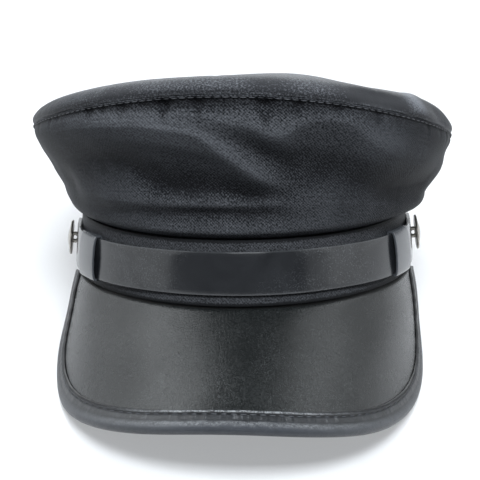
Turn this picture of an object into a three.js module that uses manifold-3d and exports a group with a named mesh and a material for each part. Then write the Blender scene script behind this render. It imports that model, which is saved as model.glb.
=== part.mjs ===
// A fisherman cap, in millimetres. A cloth crown of three side panels and a puffed top stands on a stiff cloth
// band. A stiff peak with a bound edge is sewn under the front of the band. A strap crosses the front, runs
// through two keepers and is held by two shank buttons at the sides.
//
// Every piece is shaped in the cap's own frame: the lower edge of the band lies in the plane z = 0, the front
// faces -Y and +Z is up. The finished cap is then tipped back until it stands on the corners of its peak and
// the back of its band, as it does on a table. Left and right are as seen from the front.

import * as THREE from "three";
import { mergeVertices } from "three/addons/utils/BufferGeometryUtils.js";
import Module from "manifold-3d";

// Band: an oval ring of stiffened cloth, a little wider at its lower edge
const bandHalfWidth = 86;
const bandHalfDepth = 100;
const bandSpread = 3;
const bandHeight = 31;
const bandWall = 2.2;

// Sewn and resting pieces stand this far apart
const seamGap = 0.3;

// Crown: heights of its side wall over the band, how much its top seam rises to the left and falls to the
// right, and how far that seam stands out beyond the band
const crownFrontHeight = 68;
const crownSideHeight = 37;
const crownBackHeight = 28;
const crownLean = 4;
const crownFrontFlare = 19;
const crownSideFlare = 23;
const crownBackFlare = 16;
const crownWall = 1.8;
const crownFoldDepth = 4;
const panelSeamAngle = 52;

// Top of the crown: how high it puffs over its seam, and how deep its dents are
const topPuff = 14;
const topWall = 1.8;
const topDentDepth = 4;

// Peak: length, and how much shorter it is at the front, slope under the band, how much steeper it hangs on the
// right than at the front, where it ends round the band, and how its sides splay. The higher the corner power,
// the squarer its corners.
const peakLength = 69;
const peakFrontScoop = 4;
const peakFrontSlope = 42;
const peakSideSlope = 67;
const peakTwist = 6;
const peakEndAngle = 80.5;
const peakSplay = 0.28;
const peakBoard = 1.8;
const peakCornerPower = 4.2;

// Binding: a strip folded round the edge of the peak, with a rolled rim
const bindingWidth = 9;
const bindingWall = 0.9;
const bindingRoll = 0.6;

// Strap across the front, and the buttons that hold its ends
const strapWidth = 20;
const strapThickness = 1.6;
const strapFootHeight = 5.8;
const strapDrop = 1.6;
const strapTail = 12;
const buttonAngle = 86;

// Keepers: a loop round the strap at each side, bowed out from it
const keeperAngle = 58.5;
const keeperWidth = 18;
const keeperWall = 1.2;
const keeperBow = 1.2;

// Buttons: a domed disc on a wire loop
const buttonRadius = 9.2;
const buttonRim = 0.8;
const buttonDome = 1.7;
const shankWire = 2.1;
const shankSpan = 6.2;
const shankStand = 2.7;

// How far the cloth and the binding are pressed flat where they rest on the table
const restPress = 0.5;

const degrees = Math.PI / 180;
const lerp = THREE.MathUtils.lerp;
const smooth = THREE.MathUtils.smoothstep;

// Shape of the crown's side wall from the band up to the top seam: shares of its height and of its flare
const sideProfile = [
  { rise: 0, flare: 0 },
  { rise: 0.05, flare: 0.12 },
  { rise: 0.13, flare: 0.21 },
  { rise: 0.3, flare: 0.34 },
  { rise: 0.5, flare: 0.54 },
  { rise: 0.78, flare: 0.87 },
  { rise: 0.9, flare: 0.98 },
  { rise: 1, flare: 1 },
];

// Folds of the side wall. Angles are degrees round from the front, rise and its spread are shares of the height,
// lean is the rise gained per spread of angle, and depth is a share of crownFoldDepth, positive for a ridge.
const crownFolds = [
  { angle: -6, spread: 34, rise: 0.66, riseSpread: 0.09, lean: -0.16, depth: 0.8 },
  { angle: -22, spread: 26, rise: 0.5, riseSpread: 0.13, lean: -0.12, depth: -0.8 },
  { angle: -8, spread: 18, rise: 0.27, riseSpread: 0.06, lean: -0.02, depth: 0.6 },
  { angle: -2, spread: 20, rise: 0.15, riseSpread: 0.05, lean: 0.02, depth: -0.5 },
  { angle: -44, spread: 12, rise: 0.42, riseSpread: 0.12, lean: -0.2, depth: 0.6 },
  { angle: 24, spread: 22, rise: 0.5, riseSpread: 0.16, lean: 0.2, depth: -0.7 },
  { angle: 40, spread: 14, rise: 0.74, riseSpread: 0.12, lean: -0.1, depth: 0.6 },
  { angle: 74, spread: 20, rise: 0.42, riseSpread: 0.14, lean: 0.15, depth: -0.5 },
  { angle: -80, spread: 20, rise: 0.5, riseSpread: 0.16, lean: 0.1, depth: -0.5 },
  { angle: 118, spread: 22, rise: 0.55, riseSpread: 0.14, lean: -0.15, depth: 0.6 },
  { angle: -124, spread: 24, rise: 0.45, riseSpread: 0.14, lean: 0.15, depth: 0.6 },
  { angle: 156, spread: 22, rise: 0.45, riseSpread: 0.16, lean: 0.1, depth: -0.6 },
  { angle: -160, spread: 20, rise: 0.5, riseSpread: 0.16, lean: -0.1, depth: -0.5 },
];

// Dents of the top: place as an angle from the front and a share of the way out to the seam, and depth as a
// share of topDentDepth
const topDents = [
  { angle: 40, out: 0.86, spread: 0.16, depth: 0.7 },
  { angle: -28, out: 0.6, spread: 0.24, depth: 0.5 },
  { angle: 110, out: 0.66, spread: 0.26, depth: 0.6 },
  { angle: -150, out: 0.6, spread: 0.28, depth: 0.6 },
  { angle: 0, out: 0.1, spread: 0.3, depth: -0.4 },
];

// Section of the binding's upper and lower strips from the sewn edge out to the rolled rim: distance in from the
// edge of the board as a share of bindingWidth, and height over the plain strip as a share of bindingRoll
const upperStrip = [
  { in: 1, proud: 0 },
  { in: 0.93, proud: 0.5 },
  { in: 0.82, proud: 0.45 },
  { in: 0.72, proud: -0.2 },
  { in: 0.5, proud: -0.1 },
  { in: 0.34, proud: 0.4 },
];
const lowerStrip = [
  { in: 0.34, proud: 0.2 },
  { in: 1, proud: 0 },
];

// Mesh steps
const roundSteps = 64;
const profileSteps = 11;
const topRings = 8;
const peakSteps = 44;
const peakRows = 5;
const strapSteps = 48;

const wasm = await Module();
wasm.setup();

// A closed mesh from sections that are strips: the points of one face of a wall in order, then those of its
// other face in the opposite order. A closed loft joins its last section to the first, an open one has its two
// ends filled. Triangles that shrink to a line, as at a pole, are dropped.
function loft(sections, closed = false) {
  const count = sections[0].length;
  const positions = [];
  const triangle = (a, b, c) => {
    if (a.distanceTo(b) > 1e-4 && b.distanceTo(c) > 1e-4 && c.distanceTo(a) > 1e-4) {
      positions.push(...a.toArray(), ...b.toArray(), ...c.toArray());
    }
  };
  const quad = (a, b, c, d) => {
    triangle(a, b, c);
    triangle(a, c, d);
  };
  const spans = closed ? sections.length : sections.length - 1;
  for (let i = 0; i < spans; i++) {
    const here = sections[i];
    const next = sections[(i + 1) % sections.length];
    for (let j = 0; j < count; j++) {
      const k = (j + 1) % count;
      quad(here[j], next[j], next[k], here[k]);
    }
  }
  if (!closed) {
    const first = sections[0];
    const last = sections[sections.length - 1];
    for (let j = 0; j < count / 2 - 1; j++) {
      const k = count - 1 - j;
      quad(first[j], first[j + 1], first[k - 1], first[k]);
      quad(last[k], last[k - 1], last[j + 1], last[j]);
    }
  }
  return facingOut(positions);
}

// A geometry from loose triangles, turned round if they face inwards
function facingOut(positions) {
  const corner = (i) => new THREE.Vector3().fromArray(positions, i);
  let volume = 0;
  for (let i = 0; i < positions.length; i += 9) {
    volume += corner(i).dot(corner(i + 3).cross(corner(i + 6)));
  }
  if (volume < 0) {
    for (let i = 0; i < positions.length; i += 9) {
      const second = positions.slice(i + 3, i + 6);
      positions.splice(i + 3, 3, ...positions.slice(i + 6, i + 9));
      positions.splice(i + 6, 3, ...second);
    }
  }
  return new THREE.BufferGeometry().setAttribute("position", new THREE.Float32BufferAttribute(positions, 3));
}

function toSolid(geometry) {
  const bare = new THREE.BufferGeometry().setAttribute(
    "position",
    (geometry.index ? geometry.toNonIndexed() : geometry).getAttribute("position"),
  );
  const merged = mergeVertices(bare, 1e-3);
  return new wasm.Manifold(
    new wasm.Mesh({
      numProp: 3,
      vertProperties: merged.attributes.position.array,
      triVerts: new Uint32Array(merged.index.array),
    }),
  );
}

function toGeometry(solid) {
  const mesh = solid.getMesh();
  return new THREE.BufferGeometry()
    .setAttribute("position", new THREE.Float32BufferAttribute(mesh.vertProperties, 3))
    .setIndex(new THREE.Uint32BufferAttribute(mesh.triVerts, 1));
}

const cut = (geometry, cutter) => toGeometry(toSolid(geometry).subtract(toSolid(cutter)));
const join = (a, b) => toGeometry(toSolid(a).add(toSolid(b)));

// Angles round the cap, from the front towards +X, between two limits
const between = (from, to, steps) => Array.from({ length: steps + 1 }, (_, i) => lerp(from, to, i / steps));

// A point on the outer face of the band, moved out from it by a distance
function bandPoint(angle, height, out = 0) {
  const grown = bandSpread * (1 - height / bandHeight) + out;
  return new THREE.Vector3(
    (bandHalfWidth + grown) * Math.sin(angle),
    -(bandHalfDepth + grown) * Math.cos(angle),
    height,
  );
}

// The outward direction of the band's outer face
function bandNormal(angle, height) {
  const step = 0.001;
  const round = bandPoint(angle + step, height).sub(bandPoint(angle - step, height));
  const up = bandPoint(angle, height + 1).sub(bandPoint(angle, height - 1));
  return round.cross(up).normalize();
}

function makeBand() {
  const sections = between(0, 2 * Math.PI, roundSteps)
    .slice(0, -1)
    .map((angle) => [
      bandPoint(angle, 0),
      bandPoint(angle, bandHeight),
      bandPoint(angle, bandHeight, -bandWall),
      bandPoint(angle, 0, -bandWall),
    ]);
  return loft(sections, true);
}

// Height of the crown's side wall at a point of the top, whose place is a share of the way out to the seam
function crownHeight(angle, out = 1) {
  const forward = out * Math.cos(angle);
  const slope = (crownFrontHeight - crownBackHeight) / 2;
  const arch = (crownFrontHeight + crownBackHeight) / 2 - crownSideHeight;
  return crownSideHeight + slope * forward + arch * forward ** 2 - crownLean * Math.sin(angle) * out ** 8;
}

// How far a fold moves the crown's side wall out, fading to nothing at both of its seams
function foldAt(angle, rise) {
  let moved = 0;
  for (const fold of crownFolds) {
    const turn = THREE.MathUtils.euclideanModulo(angle / degrees - fold.angle + 180, 360) - 180;
    const along = turn / fold.spread;
    const across = (rise - fold.rise - fold.lean * along) / fold.riseSpread;
    moved += fold.depth * crownFoldDepth * Math.exp(-(along ** 2) - across ** 2);
  }
  return moved * smooth(rise, 0, 0.15) * (1 - smooth(rise, 0.85, 1));
}

function crownPoint(angle, rise, flare, inward = 0) {
  const out = foldAt(angle, rise) - inward;
  const endFlare = Math.cos(angle) > 0 ? crownFrontFlare : crownBackFlare;
  return new THREE.Vector3(
    (bandHalfWidth + crownSideFlare * flare + out) * Math.sin(angle),
    -(bandHalfDepth + endFlare * flare + out) * Math.cos(angle),
    bandHeight + seamGap + rise * crownHeight(angle),
  );
}

function makeCrownPanel(from, to) {
  const steps = Math.round(((to - from) / (2 * Math.PI)) * roundSteps);
  const gapAngle = seamGap / 2 / bandHalfWidth;
  const curve = new THREE.SplineCurve(sideProfile.map((row) => new THREE.Vector2(row.flare, row.rise)));
  const profile = curve.getPoints(profileSteps);
  const sections = between(from + gapAngle, to - gapAngle, steps).map((angle) => {
    const outside = profile.map((p) => crownPoint(angle, p.y, p.x));
    const inside = profile.map((p) => crownPoint(angle, p.y, p.x, crownWall));
    return [...outside, ...inside.reverse()];
  });
  return loft(sections);
}

// A point of the top: out is 0 at its middle and 1 at the seam, and inward is how far it lies inside the cloth
function topPoint(angle, out, inward = 0) {
  const rim = crownPoint(angle, 1, 1, inward);
  let height = (topPuff - inward) * (1 - out ** 7) ** 0.45;
  for (const dent of topDents) {
    const x = out * Math.sin(angle) - dent.out * Math.sin(dent.angle * degrees);
    const y = out * Math.cos(angle) - dent.out * Math.cos(dent.angle * degrees);
    const fade = 1 - smooth(out, 0.85, 1);
    height -= fade * dent.depth * topDentDepth * Math.exp(-(x * x + y * y) / dent.spread ** 2);
  }
  return new THREE.Vector3(
    rim.x * out,
    rim.y * out,
    bandHeight + 2 * seamGap + crownHeight(angle, out) + height,
  );
}

function makeTop() {
  const shares = between(0, 1, topRings).map((t) => 1 - t ** 2);
  const sections = between(0, 2 * Math.PI, roundSteps)
    .slice(0, -1)
    .map((angle) => {
      const outside = shares.map((out) => topPoint(angle, out));
      const inside = shares.map((out) => topPoint(angle, out, topWall));
      return [...outside, ...inside.reverse()];
    });
  return loft(sections, true);
}

// The middle of the peak's board. It leaves the lower edge of the band forwards and down, and reach is the
// distance from that edge.
function peakSurface(angle, reach) {
  const root = bandPoint(angle, 0, -bandWall / 2);
  const slope = (lerp(peakFrontSlope, peakSideSlope, Math.sin(angle) ** 2) + peakTwist * Math.sin(angle)) * degrees;
  const heading = peakSplay * angle;
  const direction = new THREE.Vector3(
    Math.cos(slope) * Math.sin(heading),
    -Math.cos(slope) * Math.cos(heading),
    -Math.sin(slope),
  );
  return root.addScaledVector(direction, reach);
}

function peakSlopes(angle, reach) {
  const turn = 0.002;
  const round = peakSurface(angle + turn, reach).sub(peakSurface(angle - turn, reach));
  const outward = peakSurface(angle, reach + 1).sub(peakSurface(angle, reach - 1));
  return { round: round.divideScalar(2 * turn), outward: outward.divideScalar(2) };
}

function peakNormal(angle, reach) {
  const { round, outward } = peakSlopes(angle, reach);
  return outward.cross(round).normalize();
}

// The outline of the peak, a rounded oblong wrapped round the band: angle and reach at a share from end to end
function peakOutline(share) {
  const turn = lerp(-Math.PI / 2, Math.PI / 2, share);
  const squared = Math.abs(Math.sin(turn)) ** peakCornerPower + Math.abs(Math.cos(turn)) ** peakCornerPower;
  const across = Math.sin(turn) * squared ** (-1 / peakCornerPower);
  const along = Math.cos(turn) * squared ** (-1 / peakCornerPower);
  return {
    angle: peakEndAngle * degrees * across,
    reach: along * (peakLength - peakFrontScoop * (1 - across ** 2)),
  };
}

// What is above the lower edge of the band, to cut off the peak's sewn edge
function spaceAboveBandEdge() {
  const size = 4 * bandHalfDepth;
  return new THREE.BoxGeometry(size, size, size).translate(0, 0, size / 2 - seamGap);
}

function makePeak() {
  const tuckedIn = 2 * bandWall;
  const sections = between(0, 1, peakSteps).map((share) => {
    const { angle, reach } = peakOutline(share);
    const face = (side) =>
      between(-tuckedIn, reach, peakRows).map((at) =>
        peakSurface(angle, at).addScaledVector(peakNormal(angle, at), (side * peakBoard) / 2),
      );
    return [...face(1), ...face(-1).reverse()];
  });
  return cut(loft(sections), spaceAboveBandEdge());
}

// The direction in which to go in from the peak's edge on its surface, as steps of angle and reach for 1 mm
function inwardOnPeak(share) {
  const step = 0.002;
  const here = peakOutline(share);
  const before = peakOutline(Math.max(0, share - step));
  const after = peakOutline(Math.min(1, share + step));
  const tangent = peakSurface(after.angle, after.reach).sub(peakSurface(before.angle, before.reach)).normalize();
  const inward = peakNormal(here.angle, here.reach).cross(tangent).normalize();
  const { round, outward } = peakSlopes(here.angle, here.reach);
  const rr = round.dot(round);
  const ro = round.dot(outward);
  const oo = outward.dot(outward);
  const ri = round.dot(inward);
  const oi = outward.dot(inward);
  const whole = rr * oo - ro * ro;
  return { angle: (ri * oo - oi * ro) / whole, reach: (oi * rr - ri * ro) / whole };
}

// Section of the binding round the edge of the board, as pairs of points on its outer and inner face. Each has
// a distance in from the edge and a lift over the middle of the board, and the rim is an arc.
function bindingSection() {
  const boardSide = peakBoard / 2 + seamGap;
  const strip = (row, side) => ({
    outer: { in: row.in * bindingWidth, lift: side * (boardSide + bindingWall + row.proud * bindingRoll) },
    inner: { in: row.in * bindingWidth, lift: side * boardSide },
  });
  const rimRadius = boardSide + bindingWall + bindingRoll;
  const rim = [75, 45, 15, -15, -45, -75].map((turn) => {
    const back = Math.cos(turn * degrees);
    const up = Math.sin(turn * degrees);
    const hollow = 2 * (boardSide + bindingRoll);
    return {
      outer: { in: bindingRoll - rimRadius * back, lift: rimRadius * up },
      inner: {
        in: Math.max(-seamGap, bindingRoll - hollow * back),
        lift: THREE.MathUtils.clamp(hollow * up, -boardSide, boardSide),
      },
    };
  });
  return [...upperStrip.map((row) => strip(row, 1)), ...rim, ...lowerStrip.map((row) => strip(row, -1))];
}

function makeBinding() {
  const section = bindingSection();
  const tuckedIn = 3 * bandWall;
  const bound = (share, extra) => {
    const edge = peakOutline(share);
    const inward = inwardOnPeak(share);
    const place = (at) => {
      const angle = edge.angle + inward.angle * at.in;
      const reach = edge.reach + inward.reach * at.in - extra;
      return peakSurface(angle, reach).addScaledVector(peakNormal(angle, reach), at.lift);
    };
    return [...section.map((row) => place(row.outer)), ...section.map((row) => place(row.inner)).reverse()];
  };
  const shares = between(0, 1, peakSteps).slice(1, -1);
  const sections = [
    bound(shares[0], tuckedIn),
    ...shares.map((share) => bound(share, 0)),
    bound(shares[shares.length - 1], tuckedIn),
  ];
  return cut(loft(sections), spaceAboveBandEdge());
}

// How far the back of the strap stands off the band: it lifts over the back layer of each keeper
function strapStand(angle) {
  const turn = Math.abs(angle) / degrees;
  const lifted = smooth(turn, keeperAngle - 34, keeperAngle - 9) * (1 - smooth(turn, keeperAngle + 8, keeperAngle + 22));
  return seamGap + lifted * (keeperWall + seamGap);
}

// Height of the strap's middle: its ends hang a little lower than its front
const strapMiddle = (angle) => strapFootHeight + strapWidth / 2 - strapDrop * Math.sin(angle) ** 2;

const strapPoint = (angle, up, out) => bandPoint(angle, strapMiddle(angle) + up, strapStand(angle) + out);

function makeStrap() {
  const halfWidth = strapWidth / 2;
  const tailAngle = buttonAngle * degrees + strapTail / bandHalfDepth;
  const roundedEnd = between(0, Math.PI / 2, 6).map((turn) => ({
    angle: tailAngle - (halfWidth * (1 - Math.cos(turn))) / bandHalfDepth,
    half: halfWidth * Math.sin(turn),
  }));
  const straight = between(-1, 1, strapSteps)
    .slice(1, -1)
    .map((t) => ({ angle: t * roundedEnd[6].angle, half: halfWidth }));
  const mirrored = roundedEnd.map((row) => ({ ...row, angle: -row.angle }));
  const stations = [...mirrored, ...straight, ...roundedEnd.reverse()];
  const sections = stations.map(({ angle, half }) => [
    strapPoint(angle, -half, strapThickness),
    strapPoint(angle, half, strapThickness),
    strapPoint(angle, half, 0),
    strapPoint(angle, -half, 0),
  ]);
  let strap = loft(sections);
  const hole = new THREE.BoxGeometry(
    shankWire + 2 * seamGap,
    shankSpan + 2 * seamGap,
    4 * (strapThickness + shankStand),
  );
  for (const side of [-1, 1]) {
    strap = cut(strap, hole.clone().applyMatrix4(buttonPlace(side)));
  }
  return strap;
}

function makeKeeper(side) {
  const frontSteps = 10;
  const halfTurn = keeperWidth / 2 / bandHalfDepth;
  const turns = between(side * keeperAngle * degrees - halfTurn, side * keeperAngle * degrees + halfTurn, 4);
  // The loop round the strap, at a distance from its clearance: height and distance out from the strap's back
  const loop = (distance) => {
    const halfHeight = strapWidth / 2 + seamGap + distance;
    const back = between(-1, 1, 4).map((t) => ({ up: t * halfHeight, out: -seamGap - distance }));
    const front = between(1, -1, frontSteps).map((t) => ({
      up: t * halfHeight,
      out: strapThickness + seamGap + distance + keeperBow * (1 - t ** 2) ** 0.7,
    }));
    return [...back, ...front];
  };
  const inner = loop(0);
  const outer = loop(keeperWall - seamGap / 2);
  const sections = inner.map((_, i) => {
    const edge = (stations) => turns.map((angle) => strapPoint(angle, stations[i].up, stations[i].out));
    return [...edge(outer), ...edge(inner).reverse()];
  });
  return loft(sections, true);
}

// A button's place on the strap: its own +Z points out from the band, its own +Y up
function buttonPlace(side) {
  const angle = side * buttonAngle * degrees;
  const out = bandNormal(angle, strapMiddle(angle));
  const across = new THREE.Vector3(0, 0, 1).cross(out).normalize();
  const up = out.clone().cross(across);
  return new THREE.Matrix4()
    .makeBasis(across, up, out)
    .setPosition(strapPoint(angle, 0, strapThickness + shankStand));
}

function makeButton() {
  const arc = between(0, 1, 5).map(
    (t) => new THREE.Vector2(buttonRadius * t, buttonRim + buttonDome * (1 - t ** 2)),
  );
  const disc = new THREE.LatheGeometry(
    [new THREE.Vector2(0, 0), new THREE.Vector2(buttonRadius, 0), ...arc.reverse()],
    24,
  ).rotateX(Math.PI / 2);
  const legSpan = (shankSpan - shankWire) / 2;
  const depth = shankStand + strapThickness - shankWire / 2;
  const bend = between(0, Math.PI, 8).map(
    (turn) => new THREE.Vector3(0, legSpan * Math.cos(turn), legSpan - depth - legSpan * Math.sin(turn)),
  );
  const path = new THREE.CurvePath();
  const stops = [new THREE.Vector3(0, legSpan, buttonRim / 2), ...bend, new THREE.Vector3(0, -legSpan, buttonRim / 2)];
  stops.slice(1).forEach((stop, i) => path.add(new THREE.LineCurve3(stops[i], stop)));
  const wire = new THREE.Shape().absarc(0, 0, shankWire / 2, 0, 2 * Math.PI);
  const shank = new THREE.ExtrudeGeometry(wire, { curveSegments: 4, steps: 24, extrudePath: path });
  return join(facingOut([...disc.toNonIndexed().getAttribute("position").array]), shank);
}

const twill = { color: 0x24262a, roughness: 0.85, metalness: 0 };
const leather = { color: 0x1d2022, roughness: 0.42, metalness: 0 };
const polishedLeather = { color: 0x202325, roughness: 0.3, metalness: 0 };
const nickel = { color: 0xb9b4a8, roughness: 0.3, metalness: 1 };

const cap = new THREE.Group();

function addPiece(name, geometry, finish) {
  const mesh = new THREE.Mesh(geometry, new THREE.MeshStandardMaterial(finish));
  mesh.name = name;
  cap.add(mesh);
  return mesh;
}

const seam = panelSeamAngle * degrees;
addPiece("crown_front_panel", makeCrownPanel(-seam, seam), twill);
addPiece("crown_right_panel", makeCrownPanel(seam, Math.PI), twill);
addPiece("crown_left_panel", makeCrownPanel(-Math.PI, -seam), twill);
addPiece("crown_top", makeTop(), twill);
const band = addPiece("band", makeBand(), twill);
addPiece("peak", makePeak(), leather);
const binding = addPiece("peak_binding", makeBinding(), leather);
addPiece("strap", makeStrap(), polishedLeather);
for (const [name, side] of [
  ["left", -1],
  ["right", 1],
]) {
  addPiece("keeper_" + name, makeKeeper(side), polishedLeather);
  addPiece("button_" + name, makeButton(), nickel).applyMatrix4(buttonPlace(side));
}

// The lowest point on one side of a piece, or of all of it, once the cap is turned
function lowest(mesh, turned, side = 0) {
  const point = new THREE.Vector3();
  const points = mesh.geometry.getAttribute("position");
  let low = Infinity;
  for (let i = 0; i < points.count; i++) {
    point.fromBufferAttribute(points, i);
    if (point.x * side >= 0) {
      low = Math.min(low, point.applyQuaternion(turned).z);
    }
  }
  return low;
}

// The cap is tipped back and rolled until both corners of its peak and the back of its band touch the table.
// Each angle in turn is found by halving, a few times over, since each shifts the other a little.
const turnedBy = (tip, roll) => new THREE.Quaternion().setFromEuler(new THREE.Euler(-tip, roll, 0, "YXZ"));

function halve(isLess) {
  let angle = -45 * degrees;
  for (let step = 45 * degrees; step > 1e-7; step /= 2) {
    if (isLess(angle + step)) {
      angle += step;
    }
  }
  return angle;
}

let tip = 0;
let roll = 0;
for (let round = 0; round < 6; round++) {
  roll = halve((angle) => lowest(binding, turnedBy(tip, angle), -1) < lowest(binding, turnedBy(tip, angle), 1));
  tip = halve((angle) => lowest(binding, turnedBy(angle, roll)) < lowest(band, turnedBy(angle, roll)));
}
const standing = turnedBy(tip, roll);
const tableHeight = lowest(band, standing) + restPress;

// Press what rests on the table flat
const tableSize = 8 * bandHalfDepth;
const table = new THREE.BoxGeometry(tableSize, tableSize, tableSize)
  .translate(0, 0, tableHeight - tableSize / 2)
  .applyQuaternion(standing.clone().invert());
for (const mesh of [band, binding]) {
  mesh.geometry = cut(mesh.geometry, table);
}

// Stand the cap on the table, with the middle of its box over the origin
cap.quaternion.copy(standing);
const part = new THREE.Group();
part.add(cap);
part.updateMatrixWorld(true);
const box = new THREE.Box3().setFromObject(part, true);
cap.position.set(-(box.min.x + box.max.x) / 2, -(box.min.y + box.max.y) / 2, -tableHeight);

export default part;
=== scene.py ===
import math

import bpy
import numpy as np
from mathutils import Matrix, Vector


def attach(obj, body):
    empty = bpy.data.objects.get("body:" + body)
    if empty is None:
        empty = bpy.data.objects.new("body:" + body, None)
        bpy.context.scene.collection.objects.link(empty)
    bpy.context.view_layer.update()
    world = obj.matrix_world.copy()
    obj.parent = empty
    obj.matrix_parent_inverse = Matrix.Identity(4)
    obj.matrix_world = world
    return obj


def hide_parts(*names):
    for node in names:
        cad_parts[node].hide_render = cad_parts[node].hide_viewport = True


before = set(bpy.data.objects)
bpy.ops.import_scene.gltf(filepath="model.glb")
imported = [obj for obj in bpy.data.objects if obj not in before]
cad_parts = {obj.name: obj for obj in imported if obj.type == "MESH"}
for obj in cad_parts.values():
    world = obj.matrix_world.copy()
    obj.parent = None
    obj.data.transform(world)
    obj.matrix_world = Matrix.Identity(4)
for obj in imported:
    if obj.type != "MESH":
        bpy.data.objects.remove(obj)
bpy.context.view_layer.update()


# The crown's side wall: three panels of satin-faced cotton twill, 1.8 mm with their backing. They are sewn
# together at the sides and the centre back, gathered a little into the top seam, and sag in soft folds onto
# the band below.

# Sizes are in millimetres in the cap's own frame, which has the band's lower edge in the plane z = 0. The cap
# stands on the table tipped back and rolled a little, so every piece is turned by this before it is placed.
TIP = math.radians(17.9918)
ROLL = math.radians(-2.3413)
PLACE = Vector((2.648, 14.837, 31.491)) / 1000
standing = Matrix.Translation(PLACE) @ Matrix.Rotation(ROLL, 4, "Y") @ Matrix.Rotation(-TIP, 4, "X")

BAND_HALF_WIDTH = 86
BAND_HALF_DEPTH = 100
BAND_SPREAD = 3
BAND_HEIGHT = 31
SEAM_GAP = 0.3
SEAM_RADIUS = BAND_HALF_DEPTH + 10
MERGE_DISTANCE = 0.002

CROWN_FRONT_HEIGHT = 68
CROWN_SIDE_HEIGHT = 37
CROWN_BACK_HEIGHT = 28
CROWN_LEAN = 4
CROWN_FRONT_FLARE = 19
CROWN_SIDE_FLARE = 23
CROWN_BACK_FLARE = 16
CROWN_WALL = 1.8
PANEL_SEAM = math.radians(52)
PANEL_END_GAP = 0.01

# Shape of the wall from the band up to the top seam: shares of its height and of its flare
WALL_RISE = [0, 0.05, 0.13, 0.3, 0.5, 0.78, 0.9, 1]
WALL_FLARE = [0, 0.12, 0.21, 0.34, 0.54, 0.87, 0.98, 1]

# Crests and hollows across the front, from under the top seam down to the band: at each of these angles, the
# share of the height at which each one runs, and how far it lifts the cloth in mm
FRONT_DEPTH = 1.55
FRONT_ANGLES = [-68, -50, -42, -34, -25, -18, -11, -5, 1.5, 8, 15, 25, 36, 50, 68]
FRONT_LINES = {
    "under the seam": (
        [0.96, 0.96, 0.96, 0.95, 0.94, 0.935, 0.93, 0.93, 0.93, 0.925, 0.935, 0.95, 0.96, 0.96, 0.96],
        [-0.1, -0.1, -0.3, -0.5, -0.9, -1.1, -1.2, -1.2, -1.1, -1.3, -1.1, -0.6, -0.3, -0.2, -0.1],
    ),
    "upper crest": (
        [0.90, 0.90, 0.90, 0.89, 0.88, 0.87, 0.86, 0.82, 0.79, 0.73, 0.83, 0.85, 0.68, 0.63, 0.60],
        [0.3, 0.8, 1.2, 1.4, 1.2, 1.1, 1.0, 1.4, 1.7, 2.1, 0.8, 0.9, 2.6, 1.8, 0.5],
    ),
    "right hollow": (
        [0.87, 0.87, 0.87, 0.86, 0.85, 0.82, 0.79, 0.72, 0.64, 0.56, 0.50, 0.45, 0.39, 0.34, 0.40],
        [0.4, 1.0, 1.7, 2.1, 2.0, 2.0, 1.8, 1.0, -0.7, -1.2, -1.8, -1.9, -1.6, -1.7, -0.5],
    ),
    "main ridge": (
        [0.84, 0.85, 0.84, 0.83, 0.81, 0.78, 0.73, 0.60, 0.48, 0.40, 0.36, 0.36, 0.34, 0.28, 0.30],
        [0.4, 1.2, 2.0, 2.5, 2.8, 2.9, 3.0, 2.8, 2.1, 0.5, -0.6, -1.0, -1.3, -1.3, -0.3],
    ),
    "main hollow": (
        [0.60, 0.58, 0.58, 0.56, 0.38, 0.35, 0.35, 0.33, 0.30, 0.31, 0.31, 0.30, 0.28, 0.22, 0.20],
        [-0.3, -1.0, -1.4, -1.6, -2.3, -2.5, -2.4, -2.3, -2.0, -0.7, -0.3, -0.3, -0.5, -0.8, -0.2],
    ),
    "lower ridge": (
        [0.30, 0.29, 0.27, 0.26, 0.25, 0.25, 0.25, 0.25, 0.25, 0.25, 0.24, 0.24, 0.22, 0.18, 0.15],
        [0.3, 0.9, 1.5, 1.3, 0.3, 0.4, 0.4, 0.3, 0.1, 0.1, 0.2, 0.4, 0.3, 0.0, 0.0],
    ),
    "slot": (
        [0.16, 0.16, 0.16, 0.17, 0.17, 0.18, 0.18, 0.18, 0.18, 0.18, 0.17, 0.16, 0.15, 0.12, 0.12],
        [0.0, -0.1, -0.3, -0.3, -1.0, -1.2, -1.3, -1.3, -1.2, -0.8, 0.1, 0.5, 0.4, 0.2, 0.0],
    ),
    "bulge over the band": (
        [0.05] * len(FRONT_ANGLES),
        [0.3, 0.5, 0.6, 0.8, 0.9, 0.9, 0.9, 0.9, 0.9, 0.9, 0.9, 0.9, 0.7, 0.5, 0.3],
    ),
}

# Softer folds all round, from one end to the other: the ends as degrees round from the front and shares of
# the height, how far the middle bows up, the half-width above and below, and the lift of the cloth, in mm
WALL_FOLDS = [
    # angle, rise, angle, rise, bow, above, below, lift
    (-24, 0.48, -22, 0.34, 0, 3, 3, -0.9),
    (-40, 0.70, -12, 0.60, 2, 4, 4, 0.5),
    (-30, 0.66, -6, 0.50, 2, 3, 3, -0.4),
    (12, 0.66, 34, 0.58, 2, 4, 4, 0.5),
    (18, 0.30, 40, 0.36, 0, 4, 4, 0.5),
    (-78, 0.75, -64, 0.30, -2, 8, 8, -1.6),
    (-84, 0.30, -72, 0.55, 2, 7, 7, 1.4),
    (70, 0.30, 88, 0.60, 2, 8, 8, 1.5),
    (76, 0.82, 98, 0.62, 0, 7, 7, -1.6),
    (-92, 0.78, -110, 0.55, 0, 7, 8, -1.8),
    (-100, 0.30, -128, 0.35, 3, 7, 6, 2.0),
    (-134, 0.75, -150, 0.35, 0, 8, 8, -1.8),
    (-152, 0.30, -172, 0.45, 2, 6, 6, 1.6),
    (102, 0.35, 126, 0.32, 3, 7, 6, 2.0),
    (118, 0.80, 138, 0.55, 0, 8, 8, -1.8),
    (146, 0.35, 168, 0.42, 2, 6, 6, 1.5),
    (160, 0.80, 178, 0.60, 0, 6, 6, -1.2),
]

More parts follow.
